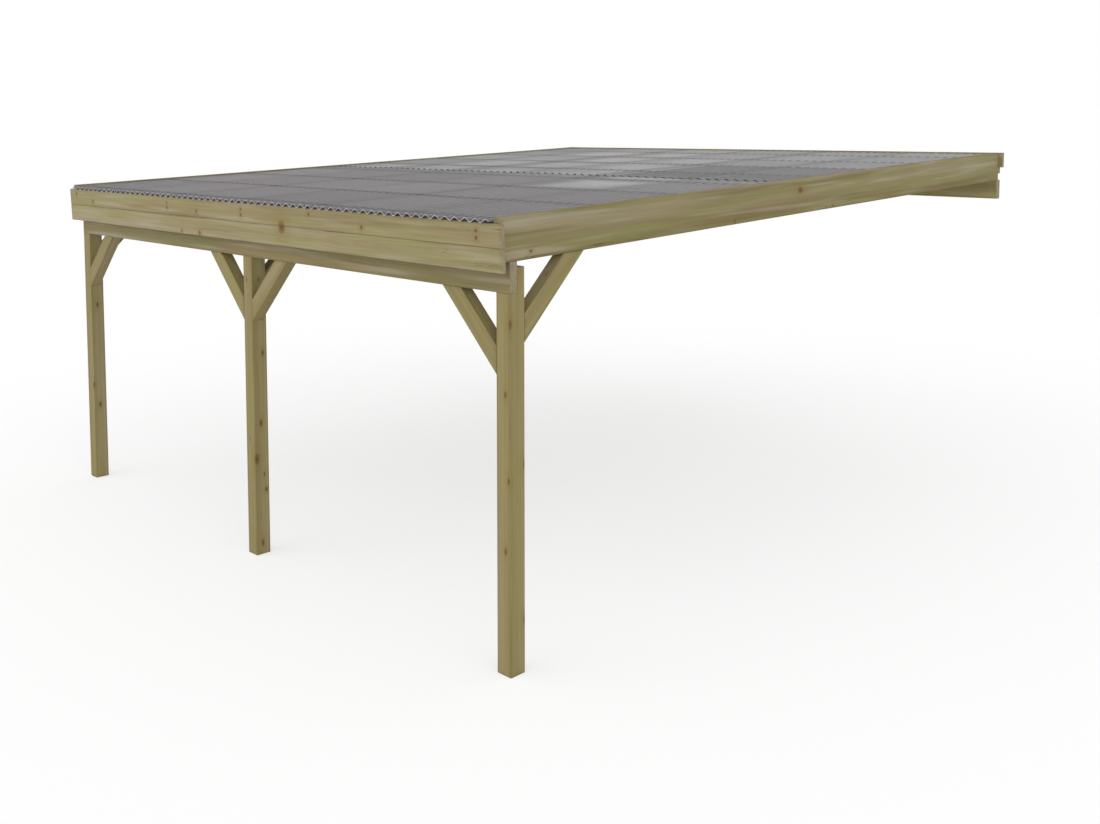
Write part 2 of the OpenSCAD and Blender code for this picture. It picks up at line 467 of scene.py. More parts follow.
def place(axes, along, across, through):
    """Points of the world from places along three axes."""
    return np.stack(np.broadcast_arrays(along, across, through), axis=-1).reshape(-1, 3) @ axes


# %% Screws in the boards at the eaves
rafter_x = np.array([middle(f"rafter_{n}")[0] for n in range(1, 6)])
side_x = [middle("side_board_left")[0], middle("side_board_right")[0]]
held_x = np.concatenate([[side_x[0]], rafter_x, [side_x[1]]])
HEAD, HEAD_RISE, HEAD_SUNK = 0.0045, 0.0006, 0.0002

screws = []
for board in ("fascia_upper", "fascia_lower"):
    low, high, _ = timber_edges(board, roof_row_axes)
    front = (cad_points(board) @ up_slope).min()
    levels = low[0] + (high[0] - low[0]) * np.array([0.25, 0.75])
    grid_x, grid_v = np.meshgrid(held_x, levels)
    seats = place(roof_axes, grid_x, front + HEAD_SUNK, grid_v)
    screws.append(domes(board + "_screws", seats, -up_slope, HEAD, HEAD_RISE))
    print(board, "has", len(seats), "screws")

# %% [markdown]
# ### Screws in the sheets
# A sheet is screwed through its crests, where no water runs, into each batten. Every third crest is
# enough. The battens under both ends get none, because a screw so near the edge would split the sheet.

# %% Screws that hold the sheets
CAP, CAP_RISE = 0.007, 0.0015
CRESTS_APART = 3
SIDE_GAP = 0.06
batten_u = [middle(f"batten_{n}") @ up_slope for n in range(1, 10)]
valley_level = (cad_points("sheet_lower_3") @ off_roof).min()
crest_x = np.arange(-30, 31, CRESTS_APART) * wave_pitch
crest_x = crest_x[np.abs(crest_x) < side_x[1] - SIDE_GAP]
grid_x, grid_u = np.meshgrid(crest_x, batten_u[1:-1])
seats = place(roof_axes, grid_x, grid_u, valley_level + wave_height + 1.5 * sheet_thick)
sheet_screws = domes("sheet_screws", seats, off_roof, CAP, CAP_RISE)
print(len(seats), "sheet screws")

# %% [markdown]
# ## Finishes
# A flat colour or a picture of wood would show the same figure on every face. Wood is solid, so
# its figure is worked out from the place in the log, kept on each point as the attribute "grain".
# One node group that every timber shares does this, and these small helpers keep its nodes short
# to write. Most of them find the tree by themselves, from the outputs that they are given.

# %% Node helpers
def fill(node, links):
    """Joins each input of a node to another node's output, or sets it to a plain value."""
    for key, value in links.items():
        if isinstance(value, bpy.types.NodeSocket):
            node.id_data.links.new(value, node.inputs[key])
        else:
            node.inputs[key].default_value = value


def node_at(tree, kind, links=None, **values):
    """Adds a node, sets its plain properties, and fills its inputs."""
    made = tree.nodes.new(kind)
    for name, value in values.items():
        setattr(made, name, value)
    fill(made, links or {})
    return made


def after(kind, links, **values):
    """A node in the tree of the first output that it is joined to, so that tree needn't be named."""
    joined = next(value for value in links.values() if isinstance(value, bpy.types.NodeSocket))
    return node_at(joined.id_data, kind, links, **values)


def maths(operation, *values):
    """One Math node: the operation on up to three numbers or outputs."""
    return after("ShaderNodeMath", dict(enumerate(values)), operation=operation).outputs[0]


def vectors(operation, *values):
    """One Vector Math node; a length or a dot product is a number, and the rest are vectors."""
    made = after("ShaderNodeVectorMath", dict(enumerate(values)), operation=operation)
    return made.outputs["Value" if operation in ("LENGTH", "DOT_PRODUCT") else "Vector"]


def scaled(vector, factor):
    """A vector or a colour times a number."""
    links = {0: vector, "Scale": factor}
    return after("ShaderNodeVectorMath", links, operation="SCALE").outputs["Vector"]


# %% Ranges, mixes and noise
def ramp(value, low, high, out_low=0.0, out_high=1.0):
    """A soft step from out_low to out_high while value goes from low to high."""
    links = {"Value": value, "From Min": low, "From Max": high, "To Min": out_low, "To Max": out_high}
    return after("ShaderNodeMapRange", links, interpolation_type="SMOOTHSTEP").outputs["Result"]


def blend(share, first, second):
    """The second colour laid over the first by a share from 0 to 1."""
    return after("ShaderNodeMix", {0: share, 6: first, 7: second}, data_type="RGBA").outputs[2]


def lay_over(colour, tone, mask, amount):
    """A tone laid over a colour where a mask is 1, by an amount from 0 to 1."""
    return blend(maths("MULTIPLY", mask, amount), colour, tone)


def noise(place, scale, detail=2.0, roughness=0.5):
    """Smooth random values, about 0 to 1, with scale as the number of hills in a metre."""
    links = {"Vector": place, "Scale": scale, "Detail": detail, "Roughness": roughness}
    return after("ShaderNodeTexNoise", links).outputs[0]


# %% Places, colours and new finishes
def object_place(tree):
    """Where a point is on the carport; every object is at the origin, so this is the place in the world."""
    return node_at(tree, "ShaderNodeTexCoord").outputs["Object"]


def kept(tree, name, output="Fac"):
    """A value that was kept on the points of a piece."""
    return node_at(tree, "ShaderNodeAttribute", attribute_name=name).outputs[output]


def linear(*rgb):
    """An sRGB colour of 0 to 255 as the linear colour that a shader takes."""
    part = np.array(rgb) / 255
    value = np.where(part <= 0.04045, part / 12.92, ((part + 0.055) / 1.055) ** 2.4)
    return (*value.tolist(), 1.0)


def new_finish(name):
    """A new material, its node tree and its Principled shader."""
    material = bpy.data.materials.new(name)
    material.use_nodes = True
    return material, material.node_tree, material.node_tree.nodes["Principled BSDF"]


def put_on(piece, *materials):
    """Gives a piece its finishes: the first for its sides and the second for its ends."""
    for material in materials:
        piece.data.materials.append(material)


# %% [markdown]
# ### The softwood group
# A group is a small machine with named inputs and outputs, built once and placed in every
# timber's material with that timber's own colours, ring width and number of knots. It puts out
# a colour, a roughness and a height.

# %% The group's inputs and outputs
def group_sockets(group, side, kind, names):
    """Adds named sockets of one kind to one side of a group, "INPUT" or "OUTPUT"."""
    for name in names:
        group.interface.new_socket(name, in_out=side, socket_type="NodeSocket" + kind)


softwood = bpy.data.node_groups.new("softwood", "ShaderNodeTree")
group_sockets(softwood, "INPUT", "Vector", ("Place",))
group_sockets(softwood, "INPUT", "Color", ("Pale", "Dark", "Green", "Heartwood"))
group_sockets(softwood, "INPUT", "Float", ("Edge", "Placed knot", "Ring", "Contrast", "Knots",
                                           "Length of streaks", "Clouds"))
group_sockets(softwood, "OUTPUT", "Color", ("Colour",))
group_sockets(softwood, "OUTPUT", "Float", ("Roughness", "Height"))

tree = softwood
given = tree.nodes.new("NodeGroupInput").outputs
in_log = given["Place"]
print(len(given) - 1, "inputs for softwood")

# %% [markdown]
# ### Knots
# A knot is the foot of a branch, so it runs out from the heart as a rod and shows wherever a face
# cuts it. One random spot in each long cell of the log gives the rod its place, and its distance
# from the rod, counted in knot radii, gives the dark core, the knot and the halo round it.

# %% Knots that run out from the heart
# Where there is no knot, the distance from one is set to this many knot radii.
NO_KNOT = 20.0
cell = (0.34, 0.11, 0.11)
in_cells = vectors("DIVIDE", in_log, cell)
spots = node_at(tree, "ShaderNodeTexVoronoi", {"Vector": in_cells, "Scale": 1.0, "Randomness": 0.9})
spot_place = vectors("MULTIPLY", spots.outputs["Position"], cell)
outward = vectors("NORMALIZE", vectors("MULTIPLY", spot_place, (0.0, 1.0, 1.0)))
from_spot = vectors("SUBTRACT", in_log, spot_place)
reach_out = vectors("DOT_PRODUCT", from_spot, outward)
off_rod = vectors("SUBTRACT", from_spot, scaled(outward, reach_out))
off_rod = vectors("MULTIPLY", off_rod, (0.42, 1.0, 1.0))
knot_far = vectors("LENGTH", off_rod)
pick = node_at(tree, "ShaderNodeSeparateColor", {0: spots.outputs["Color"]}).outputs
knot_size = maths("MULTIPLY_ADD", pick[1], 0.0055, 0.003)
no_knot = maths("GREATER_THAN", pick[0], given["Knots"])
knot_far = maths("MULTIPLY_ADD", no_knot, NO_KNOT, maths("DIVIDE", knot_far, knot_size))
knot_far = maths("MINIMUM", knot_far, given["Placed knot"])
rough_edge = maths("MULTIPLY_ADD", noise(in_log, 90.0), 0.6, knot_far)
knot = ramp(rough_edge, 1.1, 1.7, 1.0, 0.0)
core = ramp(rough_edge, 0.4, 0.9, 1.0, 0.0)
halo = ramp(knot_far, 0.8, 4.5, 1.0, 0.0)

# %% [markdown]
# ### Growth rings
# Each year adds a pale band and a thin dark one, so the figure is the distance from the heart, cut
# into equal rings. The heart wanders slowly along the log, and the rings bend round each knot.

# %% Rings round the heart
slow = vectors("MULTIPLY", in_log, (0.6, 4.0, 4.0))
wander = node_at(tree, "ShaderNodeTexNoise", {"Vector": slow, "Scale": 1.0, "Detail": 2.0}).outputs[1]
wander = vectors("MULTIPLY", vectors("SUBTRACT", wander, (0.5, 0.5, 0.5)), (0.0, 0.05, 0.05))
heart = vectors("MULTIPLY", in_log, (0.0, 1.0, 1.0))
from_heart = vectors("LENGTH", vectors("ADD", heart, wander))
heartwood = ramp(from_heart, 0.03, 0.15, 1.0, 0.0)
ring_place = maths("MULTIPLY_ADD", halo, 0.007, from_heart)
ring = maths("FRACT", maths("DIVIDE", ring_place, given["Ring"]))
dark_grows, dark_ends = ramp(ring, 0.3, 0.86), ramp(ring, 0.88, 1.0, 1.0, 0.0)
late = maths("MULTIPLY", dark_grows, dark_ends)
band = noise(vectors("MULTIPLY", in_log, (1.1, 26.0, 26.0)), 1.0, 3.0)
late = maths("MULTIPLY", late, maths("MULTIPLY_ADD", band, 0.9, 0.2))

# %% [markdown]
# ### Streaks and colour
# Fibres run along the log, so everything uneven in wood is drawn out that way: the clouds of green
# preservative, dull and silver weathered streaks, and the fine fibre itself. Each is the same
# stretched noise with its own seed and size, laid over the pale sapwood and the browner heartwood.

# %% Streaks along the grain
stretch = maths("DIVIDE", 1.0, given["Length of streaks"])
stretch = node_at(tree, "ShaderNodeCombineXYZ", {0: stretch, 1: 1.0, 2: 1.0}).outputs[0]
drawn_out = vectors("MULTIPLY", in_log, stretch)


def streaks(seed, along, across, detail=3.0):
    """Noise drawn out along the grain, moved by seed so that no two layers match."""
    moved = vectors("ADD", drawn_out, (seed, seed * 0.7, seed * 0.3))
    return noise(vectors("MULTIPLY", moved, (along, across, across)), 1.0, detail, 0.55)


# %% Sapwood, heartwood, preservative and weather
SILVER_GREY = linear(168, 157, 138)
HALO_OLIVE, KNOT_BROWN, CORE_BROWN = linear(132, 114, 64), linear(116, 84, 38), linear(66, 45, 22)
fibre = streaks(0.0, 7.0, 420.0, 4.0)
colour = lay_over(given["Pale"], given["Heartwood"], heartwood, 0.85)
green = ramp(streaks(3.1, 1.8, 14.0, 1.5), 0.38, 0.64)
colour = lay_over(colour, given["Green"], green, given["Clouds"])
colour = lay_over(colour, given["Dark"], late, given["Contrast"])
dull = ramp(streaks(7.7, 1.5, 18.0, 1.5), 0.48, 0.74, 0.0, 0.6)
colour = lay_over(colour, given["Dark"], dull, given["Clouds"])
silver = ramp(streaks(5.3, 2.2, 22.0, 1.5), 0.5, 0.74, 0.0, 0.6)
colour = lay_over(colour, SILVER_GREY, silver, given["Clouds"])
bands = ramp(streaks(29.0, 4.0, 75.0, 2.0), 0.3, 0.7, 0.93, 1.06)
fine = maths("MULTIPLY", ramp(fibre, 0.2, 0.8, 0.95, 1.05), bands)
colour = scaled(colour, fine)
for mask, amount, brown in ((halo, 0.4, HALO_OLIVE), (knot, 0.9, KNOT_BROWN), (core, 0.8, CORE_BROWN)):
    colour = lay_over(colour, brown, mask, amount)

# %% [markdown]
# ### Checks, dirt, rain and painted shade
# Wood splits a little as it dries. These checks are thin dark lines, found where a stretched noise
# passes its middle value. Dirt gathers by edges and cuts. Faces that look up are darkened, partly by rain and
# dust that dull them and partly as painted shade, for the tops that lie in shadow under the roof.

# %% Wear
CHECK_BROWN, GRIME_BROWN, RAIN_AND_SHADE_BROWN = linear(74, 60, 40), linear(92, 80, 54), linear(104, 92, 70)
check_line = maths("ABSOLUTE", maths("SUBTRACT", streaks(11.9, 2.6, 24.0, 2.0), 0.5))
check = maths("MULTIPLY", ramp(check_line, 0.0, 0.006, 1.0, 0.0),
              ramp(streaks(17.3, 1.4, 9.0, 1.0), 0.6, 0.68))
colour = lay_over(colour, CHECK_BROWN, check, 0.55)
grime = maths("MULTIPLY", given["Edge"], ramp(streaks(23.0, 9.0, 60.0), 0.3, 0.75))
colour = lay_over(colour, GRIME_BROWN, grime, 0.4)
# painted shade together with rain's greying: faces that look up are darkened
facing = node_at(tree, "ShaderNodeNewGeometry").outputs["Normal"]
look_up = vectors("DOT_PRODUCT", facing, (0.0, 0.0, 1.0))
rain_and_shade = ramp(look_up, 0.75, 0.95, 0.0, 0.7)
colour = blend(rain_and_shade, colour, RAIN_AND_SHADE_BROWN)

# %% Roughness and height
rough = maths("MULTIPLY_ADD", fibre, 0.18, 0.6)
rough = maths("MULTIPLY_ADD", knot, -0.15, rough)
height = maths("MULTIPLY_ADD", late, 0.35, maths("MULTIPLY", fibre, 0.5))
height = maths("MULTIPLY_ADD", knot, 0.6, height)
height = maths("MULTIPLY_ADD", check, -2.5, height)
node_at(tree, "NodeGroupOutput", {"Colour": colour, "Roughness": rough, "Height": height})
print(len(softwood.nodes), "nodes in the softwood group")

# %% [markdown]
# ### Knots that are named one by one
# Random knots never fall where the real ones are. The few that stand out on this carport are named instead,
# each by a centre and three half sizes, and the group takes the nearer of a random and a named knot.

# %% The nearest of a few named knots
def placed_knots(tree, spots):
    """How far a point is from the nearest of a few named knots, in knot radii; NO_KNOT where there is none.

    Each spot is its centre and its three half sizes, so a knot can be drawn out along the grain.
    """
    where = object_place(tree)
    nearest = NO_KNOT
    for centre, half in spots:
        gap = vectors("DIVIDE", vectors("SUBTRACT", where, tuple(centre)), half)
        gap = vectors("LENGTH", gap)
        nearest = maths("MINIMUM", nearest, gap)
    return nearest


# %% [markdown]
# ### A timber finish
# Every timber has the same kind of material: the softwood group feeds colour and roughness to one Principled
# shader, and its height goes through a Bump node. Only the group's inputs differ from timber to timber.

# %% One material for each kind of timber
HEART_BROWN = (140, 124, 80)


def wood_finish(name, pale, dark, green, ring=0.006, contrast=0.3, knots=0.3, streak=1.0, clouds=1.0,
                bump=0.00025, specular=0.3, spots=(), heartwood=HEART_BROWN):
    """A softwood material: the group's colour, roughness and height on one Principled shader."""
    material, tree, shader = new_finish(name)
    links = {
        "Place": kept(tree, "grain", "Vector"),
        "Edge": kept(tree, "edge"),
        "Placed knot": placed_knots(tree, spots), "Pale": linear(*pale), "Dark": linear(*dark),
        "Green": linear(*green), "Heartwood": linear(*heartwood), "Ring": ring, "Contrast": contrast,
        "Knots": knots, "Length of streaks": streak, "Clouds": clouds,
    }
    wood = node_at(tree, "ShaderNodeGroup", links, node_tree=softwood).outputs
    relief = node_at(tree, "ShaderNodeBump", {"Height": wood["Height"], "Strength": 1.0, "Distance": bump})
    fill(shader, {"Base Color": wood["Colour"], "Roughness": wood["Roughness"],
                        "Normal": relief.outputs[0], "Specular IOR Level": specular})
    return material


# %% [markdown]
# ### Where the named knots are
# On the eaves boards a knot is measured along the row and up from the groove between the two boards. On
# the side board it is measured up the slope and up from the board's foot, and on a post by its height.

# %% Places of the named knots
eaves_front = (cad_points("fascia_upper") @ up_slope).min()
groove = (cad_points("fascia_upper") @ off_roof).min()
side_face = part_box("side_board_right")[1][0]
side_foot = (cad_points("side_board_right") @ off_roof).min()
post_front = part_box("post_right")[0][1]


def board_knot(x, above_groove, size):
    """A knot on the front of the fascia, given by its place along the row and its height above the groove."""
    return place(roof_axes, x, eaves_front, groove + above_groove)[0], (size * 1.15, 0.02, size * 1.2)


def side_knot(up, above_foot, size):
    """A knot on the outside of the right side board."""
    return place(roof_axes, side_face, eaves_front + up, side_foot + above_foot)[0], (0.02, size * 1.4, size)


def post_knot(name, depth, high, size):
    """A knot on a post: depth is metres behind the front face, or -1 to 0 from left to right across it."""
    low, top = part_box(name)
    x = top[0] if depth >= 0 else low[0] + (1 + depth) * (top[0] - low[0])
    y = post_front + max(depth, 0)
    return (x, y, ground + high), (size, size, size * 2.2)


board_spots = [board_knot(*values) for values in (
    (0.53, -0.006, 0.028), (-2.34, 0.086, 0.009), (-2.06, 0.038, 0.009), (-0.89, 0.078, 0.006),
    (-0.89, 0.046, 0.008), (-0.49, 0.04, 0.009), (0.07, 0.079, 0.008), (0.07, 0.046, 0.009),
    (0.82, 0.085, 0.008), (1.33, 0.04, 0.01), (2.27, 0.079, 0.008), (2.27, 0.044, 0.009),
    (-0.7, -0.101, 0.008), (-0.46, -0.101, 0.011))]
side_spots = [side_knot(2.64, 0.15, 0.02), side_knot(3.03, 0.012, 0.01), side_knot(0.22, 0.04, 0.007)]
post_spots = [post_knot(*values) for values in (
    ("post_right", 0.0, 1.78, 0.011), ("post_right", -0.35, 1.43, 0.008), ("post_right", -0.12, 1.0, 0.008),
    ("post_right", -0.35, 0.64, 0.008), ("post_right", 0.1, 1.07, 0.012), ("post_right", 0.1, 0.28, 0.012),
    ("post_middle", 0.068, 1.31, 0.008), ("post_middle", 0.047, 0.86, 0.01),
    ("post_middle", 0.013, 0.63, 0.015), ("post_middle", 0.065, 0.52, 0.006),
    ("post_middle", 0.046, 0.075, 0.01), ("post_left", 0.048, 1.37, 0.009),
    ("post_left", 0.0, 0.74, 0.009), ("post_left", 0.048, 0.58, 0.009))]
print(len(board_spots) + len(side_spots) + len(post_spots), "named knots")

# %% [markdown]
# ### The timbers' own colours
# All the wood is green-treated softwood, and each kind of timber has weathered in its own way: the eaves
# boards and posts are palest, the side boards and the beam are duller. The wall beam is painted paler, as
# painted light for the shade it stands in under the roof. Three colours are pale sapwood,
# dark late wood and the green of the preservative. Sawn ends are drier and greyer, with finer rings.

# %% Finishes for each kind of timber
finishes = {
    "post": wood_finish("post pine", (157, 146, 108), (124, 109, 64), (147, 140, 86), knots=0.05, streak=5.0,
                        clouds=0.45, spots=post_spots),
    "brace": wood_finish("brace pine", (160, 148, 110), (122, 110, 66), (144, 136, 84), knots=0.2, streak=2.5,
                         clouds=0.5),
    "beam": wood_finish("beam pine", (148, 136, 107), (112, 102, 66), (132, 124, 82), knots=0.15, streak=2.0),
    # painted light: the wall beam's colours are paler to stand in for light that doesn't reach it under the
    # roof
    "wall beam": wood_finish("wall beam pine painted paler", (170, 156, 108), (132, 120, 72), (154, 145, 88), knots=0.15,
                             streak=2.0),
    "rafter": wood_finish("rafter pine", (158, 148, 116), (120, 110, 70), (138, 132, 84)),
    "side board": wood_finish("side board pine", (148, 137, 105), (110, 97, 58), (134, 128, 82), knots=0.03,
                              streak=2.2, spots=side_spots, heartwood=(118, 104, 60)),
    "batten": wood_finish("batten pine", (156, 146, 114), (120, 110, 74), (136, 130, 86), bump=0.0005),
    "board": wood_finish("fascia pine", (164, 152, 124), (128, 116, 76), (150, 143, 98), knots=0.0,
                         streak=1.8, spots=board_spots),
}
end_tones = {kind: ((160, 149, 126), (124, 112, 84)) for kind in finishes}
end_tones["side board"] = (146, 135, 104), (112, 100, 70)
cuts = {
    kind: wood_finish(kind + " end grain", pale, dark, (148, 139, 110), ring=0.004, contrast=0.5, knots=0.0,
                      clouds=0.35, bump=0.0004, specular=0.2, heartwood=(150, 137, 108))
    for kind, (pale, dark) in end_tones.items()
}
for piece, kind in timbers.values():
    put_on(piece, finishes[kind], cuts[kind])
print(len(finishes) + len(cuts), "timber finishes")

# %% [markdown]
# ## Smoke-tinted plastic
# The sheets are grey and let some light through. Real refraction in a thin sheet shifts nothing that
# can be seen, so partly transparent plastic is enough, and it renders faster and exports whole.

# %% [markdown]
# ### Timber that shows through
# Where a batten or a rafter touches the sheet, no light comes from below, so the plastic is painted
# darker there, as painted shade. Both are evenly spaced, so a group finds them as the distance to the nearest
# of many parallel lines. The whole numbers that are left over name the bay, and give it a random tone of its
# own, which is painted light: each bay is lit a little differently from below.

# %% Where the timbers lie under the sheets
under_sheets = bpy.data.node_groups.new("timber under the sheet", "ShaderNodeTree")
group_sockets(under_sheets, "INPUT", "Vector", ("Place",))
group_sockets(under_sheets, "OUTPUT", "Float", ("Batten", "Rafter", "Bay"))
tree = under_sheets
where = tree.nodes.new("NodeGroupInput").outputs["Place"]


def nearest_line(direction, first, spacing):
    """Distance to the nearest of many parallel lines, and the number of the bay the point is in.

    The place along the direction, counted in spacings from the first line, is split into a whole number and
    the rest; the rest's distance from the nearer whole number, times the spacing, is the distance.
    """
    along = vectors("DOT_PRODUCT", where, tuple(direction))
    counted = maths("DIVIDE", maths("SUBTRACT", along, first), spacing)
    gap = maths("PINGPONG", counted, 0.5)
    return maths("MULTIPLY", gap, spacing), maths("FLOOR", counted)


batten_step = batten_u[1] - batten_u[0]
rafter_step = rafter_x[1] - rafter_x[0]
batten_gap, bay_up = nearest_line(up_slope, batten_u[0], batten_step)
rafter_gap, bay_across = nearest_line(row_way, rafter_x[0], rafter_step)
bay_number = node_at(tree, "ShaderNodeCombineXYZ", {0: bay_across, 1: bay_up}).outputs[0]
# painted light: a random tone for each bay, for the light that reaches it from below
bay_light_tone = node_at(tree, "ShaderNodeTexWhiteNoise", {"Vector": bay_number}, noise_dimensions="3D")
node_at(tree, "NodeGroupOutput", {"Batten": ramp(batten_gap, 0.02, 0.05, 1.0, 0.0),
                                  "Rafter": ramp(rafter_gap, 0.03, 0.11, 1.0, 0.0),
                                  "Bay": bay_light_tone.outputs["Value"]})
print("battens", round(batten_step, 3), "m apart, rafters", round(rafter_step, 3), "m apart")

# %% [markdown]
# ### Patches of light and shade
# Some bays are paler, where light from below reaches the sheet, and a few are darker. A patch
# is a rectangle with a soft rim: the distance outside a bay, turned into a share from 1 to 0.

# %% One bay's patch
lap_up = (cad_points("sheet_upper_3") @ up_slope).min() - eaves_u
DRIFT = 0.15


def bay_patch(where, bay, inner, outer):
    """1 inside one bay, fading from inner to outer past its rim; a bay is its rafter gap and its batten gap.

    The bay's middle lies half a spacing past its first rafter and first batten, and DRIFT further along the
    row, because low light comes in past the rafter from one side. The distance outside the bay is the larger
    of the two distances from the middle, each less the bay's half size.
    """
    column, row = bay
    middle_x = side_x[0] + (column - 0.5) * rafter_step + DRIFT
    middle_u = batten_u[row - 1] + 0.5 * batten_step
    gaps = []
    for direction, centre, size in ((row_way, middle_x, rafter_step), (up_slope, middle_u, batten_step)):
        along = vectors("DOT_PRODUCT", where, tuple(direction))
        away = maths("ABSOLUTE", maths("SUBTRACT", along, centre))
        gaps.append(maths("SUBTRACT", away, size / 2))
    return ramp(maths("MAXIMUM", *gaps), inner, outer, 1.0, 0.0)


# %% [markdown]
# ### The sheets' finish
# The plastic is laid up in layers, from the bay's own tone, painted light from below, to patches of painted
# light and shade, the painted shade of the timber below, and last the valleys' dirt and painted shade, and
# the dust on top. The valleys by the two lower ends are darkened, partly by dirt that water leaves there and
# partly as painted shade at the sheets' ends.

# %% Layers of the plastic
LIT_GREY, SHADE_GREY, TIMBER_SHADE_GREY = linear(192, 192, 191), linear(126, 126, 126), linear(96, 95, 95)
VALLEY_DIRT_AND_SHADE, DUST = linear(48, 46, 54), linear(176, 172, 164)
CLEAR_SHARE = 0.4


def plastic_finish(name, tones, lines, light, shade, glow_share):
    """Smoke-grey plastic, with painted shade where a timber lies below it, and valleys darkened by dirt and
    painted shade.

    tones are the darkest and the lightest bay, whose tones are painted light from below, lines how strongly
    the painted shade of battens and rafters shows, light and shade the bays that are paler or darker than the
    rest, and glow_share how much paler.
    """
    material, tree, shader = new_finish(name)
    where = object_place(tree)
    below = node_at(tree, "ShaderNodeGroup", {"Place": where}, node_tree=under_sheets)
    cloud = noise(where, 1.3)
    dust = noise(where, 60.0, 4.0, 0.7)
    dark, pale = linear(*tones[0]), linear(*tones[1])
    # painted light: the bay's random tone
    colour = blend(ramp(below.outputs["Bay"], 0.1, 0.9), dark, pale)
    for bay in light:
        colour = lay_over(colour, LIT_GREY, bay_patch(where, bay, -0.2, 0.0), glow_share)
    colour = blend(ramp(cloud, 0.3, 0.7, 0.0, 0.4), colour, dark)
    for bay in shade:
        colour = blend(bay_patch(where, bay, -0.04, 0.04), colour, SHADE_GREY)
    # painted shade over each rafter and batten
    for line, amount in zip(("Rafter", "Batten"), lines):
        colour = lay_over(colour, TIMBER_SHADE_GREY, below.outputs[line], amount)
    up_the_roof = kept(tree, "up")
    valley = ramp(kept(tree, "wave"), 0.1, 0.75, 1.0, 0.0)
    by_lap = maths("ABSOLUTE", maths("SUBTRACT", up_the_roof, lap_up))
    by_end = maths("MINIMUM", up_the_roof, by_lap)
    # dirt and painted shade: valleys near the eaves and the lap are darkened
    dirt_and_shade = maths("MULTIPLY", valley, ramp(by_end, 0.015, 0.06, 0.6, 0.0))
    colour = blend(dirt_and_shade, colour, VALLEY_DIRT_AND_SHADE)
    colour = blend(ramp(dust, 0.5, 0.8, 0.0, 0.1), colour, DUST)
    rough = ramp(dust, 0.3, 0.8, 0.3, 0.45)
    fill(shader, {"Base Color": colour, "Roughness": rough, "Alpha": 1.0 - CLEAR_SHARE, "IOR": 1.45,
                        "Specular IOR Level": 0.3})
    return material


# %% The two courses
# A bay is numbered from the left side board and from the batten at the eaves.
lower_light = [(5, 3), (5, 4)]
upper_light = [(1, 4), (2, 4), (3, 4), (4, 4), (2, 5), (3, 5), (4, 5), (3, 6), (4, 6), (2, 7), (3, 7)]
upper_shade = [(5, 4), (6, 4), (5, 5), (6, 5)]
sheet_finishes = [
    plastic_finish("smoke plastic lower", ((136, 134, 135), (147, 145, 145)), (0.12, 0.6), lower_light, (),
                   0.9),
    plastic_finish("smoke plastic upper", ((150, 150, 150), (168, 167, 167)), (0.35, 0.75), upper_light,
                   upper_shade, 0.65),
]
print(len(upper_light) + len(lower_light), "paler bays and", len(upper_shade), "darker ones")

# %% [markdown]
# ### The sawn ends of the sheets
# A cut edge is rough, so it takes no gloss. At the eaves it is painted pale, as a painted highlight of the
# glowing cut edge, and at the lap it is painted near black, as painted shade.

# %% Cut plastic
def spotted_finish(name, tone, spot_tone, scale, span, rough=0.5, metallic=0.0):
    """A tone with soft spots of another; a pair as rough is the roughness between the spots and on them."""
    material, tree, shader = new_finish(name)
    spots = noise(object_place(tree), scale, 3.0)
    if isinstance(rough, tuple):
        rough = ramp(spots, 0.3, 0.8, *rough)
    mixed = blend(ramp(spots, *span), tone, spot_tone)
    fill(shader, {"Base Color": mixed, "Roughness": rough, "Metallic": metallic})
    return material


# painted highlight on the eaves cut, and painted shade on the lap cut
cut_tones = {"glowing": (linear(176, 172, 182), linear(214, 210, 216)),
             "shaded": (linear(30, 29, 33), linear(60, 58, 62))}
sheet_cuts = [spotted_finish(f"{name} cut plastic", *tones, 40.0, (0.3, 0.7))
              for name, tones in cut_tones.items()]
for course, *both in zip((lower_course, upper_course), sheet_finishes, sheet_cuts):
    for piece in course:
        put_on(piece, *both)

# %% [markdown]
# ### The screws' finishes
# Screws in outdoor timber are zinc plated and soon dull, and a cap on a sheet is of the sheet's
# own plastic. Both are one tone with fine darker spots, and only the metal share differs.

# %% Zinc and caps
SPOT_SHARE = 0.6


def screw_finish(name, tone, metallic):
    """Screw metal or cap plastic, with fine spots that have SPOT_SHARE of its light."""
    spot_tone = (*(SPOT_SHARE * part for part in tone[:3]), 1.0)
    return spotted_finish(name, tone, spot_tone, 300.0, (0.4, 0.7), (0.3, 0.6), metallic)


zinc = screw_finish("dull zinc", linear(150, 146, 132), 0.8)
for piece in screws:
    put_on(piece, zinc)
put_on(sheet_screws, screw_finish("smoke screw cap", linear(136, 135, 135), 0.0))
print(len(screws) + 1, "rows of screws finished")

# %% [markdown]
# ## The floor
# The floor is a pale disc that fades out at its rim, so no horizon shows. It looks nearly white
# to the camera, partly by a glow of its own, and still takes the shadow. To the light that
# bounces it is a plain pale grey.

# %% A pale disc
FLOOR_RADIUS = 16.0
FLOOR_STEPS = 96
FLOOR_GREY, SEEN_GREY, SEEN_GLOW = 0.86, 0.42, 0.62
angle = np.linspace(0, 2 * math.pi, FLOOR_STEPS, endpoint=False)
rim_points = np.stack([np.cos(angle), np.sin(angle), 0 * angle], axis=1) * FLOOR_RADIUS
centre = np.array([0.0, (cad_low[1] + cad_high[1]) / 2, ground])
points = np.concatenate([rim_points + centre, [centre]])
floor = surface("floor", points, fan_faces(np.arange(FLOOR_STEPS), FLOOR_STEPS, outward=False))


# %% Its finish
def seen_directly(tree):
    """1 for what the camera sees, also in a mirror or through glass, and 0 for light that falls on things."""
    path = node_at(tree, "ShaderNodeLightPath").outputs
    mirrored = maths("MAXIMUM", path["Is Glossy Ray"], path["Is Transmission Ray"])
    return maths("MAXIMUM", path["Is Camera Ray"], mirrored)


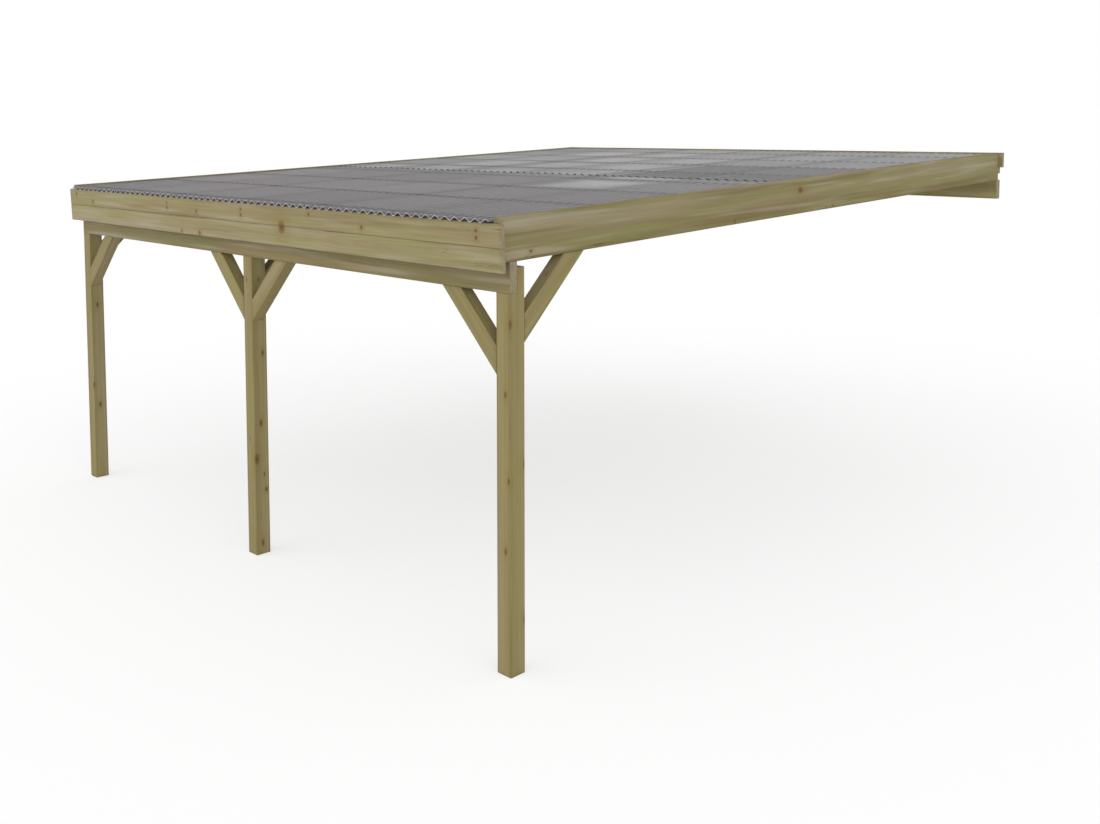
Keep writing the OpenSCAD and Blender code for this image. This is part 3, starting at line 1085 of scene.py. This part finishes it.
pale_floor, tree, shader = new_finish("pale floor")
where = object_place(tree)
far = vectors("LENGTH", vectors("SUBTRACT", where, tuple(centre)))
fade = ramp(far, FLOOR_RADIUS * 0.35, FLOOR_RADIUS * 0.95, 1.0, 0.0)
seen = seen_directly(tree)
bright = maths("MULTIPLY_ADD", seen, SEEN_GREY - FLOOR_GREY, FLOOR_GREY)
glow = maths("MULTIPLY", seen, SEEN_GLOW)
greys = [node_at(tree, "ShaderNodeCombineColor", {0: v, 1: v, 2: v}).outputs[0] for v in (bright, glow)]
fill(shader, {"Base Color": greys[0], "Emission Color": greys[1], "Emission Strength": 1.0,
                    "Roughness": 1.0, "Specular IOR Level": 0.0, "Alpha": fade})
put_on(floor, pale_floor)
print("floor", 2 * FLOOR_RADIUS, "m wide")

# %% [markdown]
# ## Light
# A white world fills every shadow softly. Two wide suns shape the timbers, one from the front
# for the eaves and one from the right for the side, and a weak low one lights the faces under
# the roof. Together they are set so that a colour renders about as it is written.

# %% The world
FILL = 0.72
world = bpy.data.worlds.new("white room")
bpy.context.scene.world = world
world.use_nodes = True
tree = world.node_tree
seen = seen_directly(tree)
strength = maths("MULTIPLY_ADD", seen, 1.0 - FILL, FILL)
fill(tree.nodes["Background"], {"Color": (1.0, 1.0, 1.0, 1.0), "Strength": strength})


# %% Three wide lamps
def sun(name, azimuth, elevation, energy, spread):
    """A sun whose rays come from a bearing round the row, where 0 is the front, and a height, in degrees."""
    lamp = bpy.data.lights.new(name, "SUN")
    lamp.energy = energy
    lamp.angle = math.radians(spread)
    new_object(name, lamp).rotation_euler = (math.radians(90 - elevation), 0, math.radians(azimuth))


sun("front lamp", -20, 28, 0.58, 60)
sun("side lamp", 75, 28, 0.7, 60)
sun("low lamp", 15, 3, 0.32, 50)
print("three lamps and a fill of", FILL)

# %% [markdown]
# ## Camera
# The eye stands a little above the roof, off the right front corner, so the roof is seen at a very flat
# angle and both the eaves and the side show. A small vertical shift keeps the uprights nearly parallel.

# %% The camera
EYE = (6.4574, -9.3479, 0.4713)
YAW = 2.3510
PITCH = -0.0761
LENS = 37.63407
SENSOR = 36
SHIFT = -0.175
camera_data = bpy.data.cameras.new("camera")
camera_data.sensor_width = SENSOR
camera_data.lens = LENS
camera_data.shift_y = SHIFT
camera = new_object("camera", camera_data)
camera.location = EYE
camera.rotation_euler = (math.pi / 2 + PITCH, 0, YAW - math.pi / 2)
bpy.context.scene.camera = camera
bpy.context.scene.view_settings.view_transform = "Standard"
print("lens", LENS, "mm")
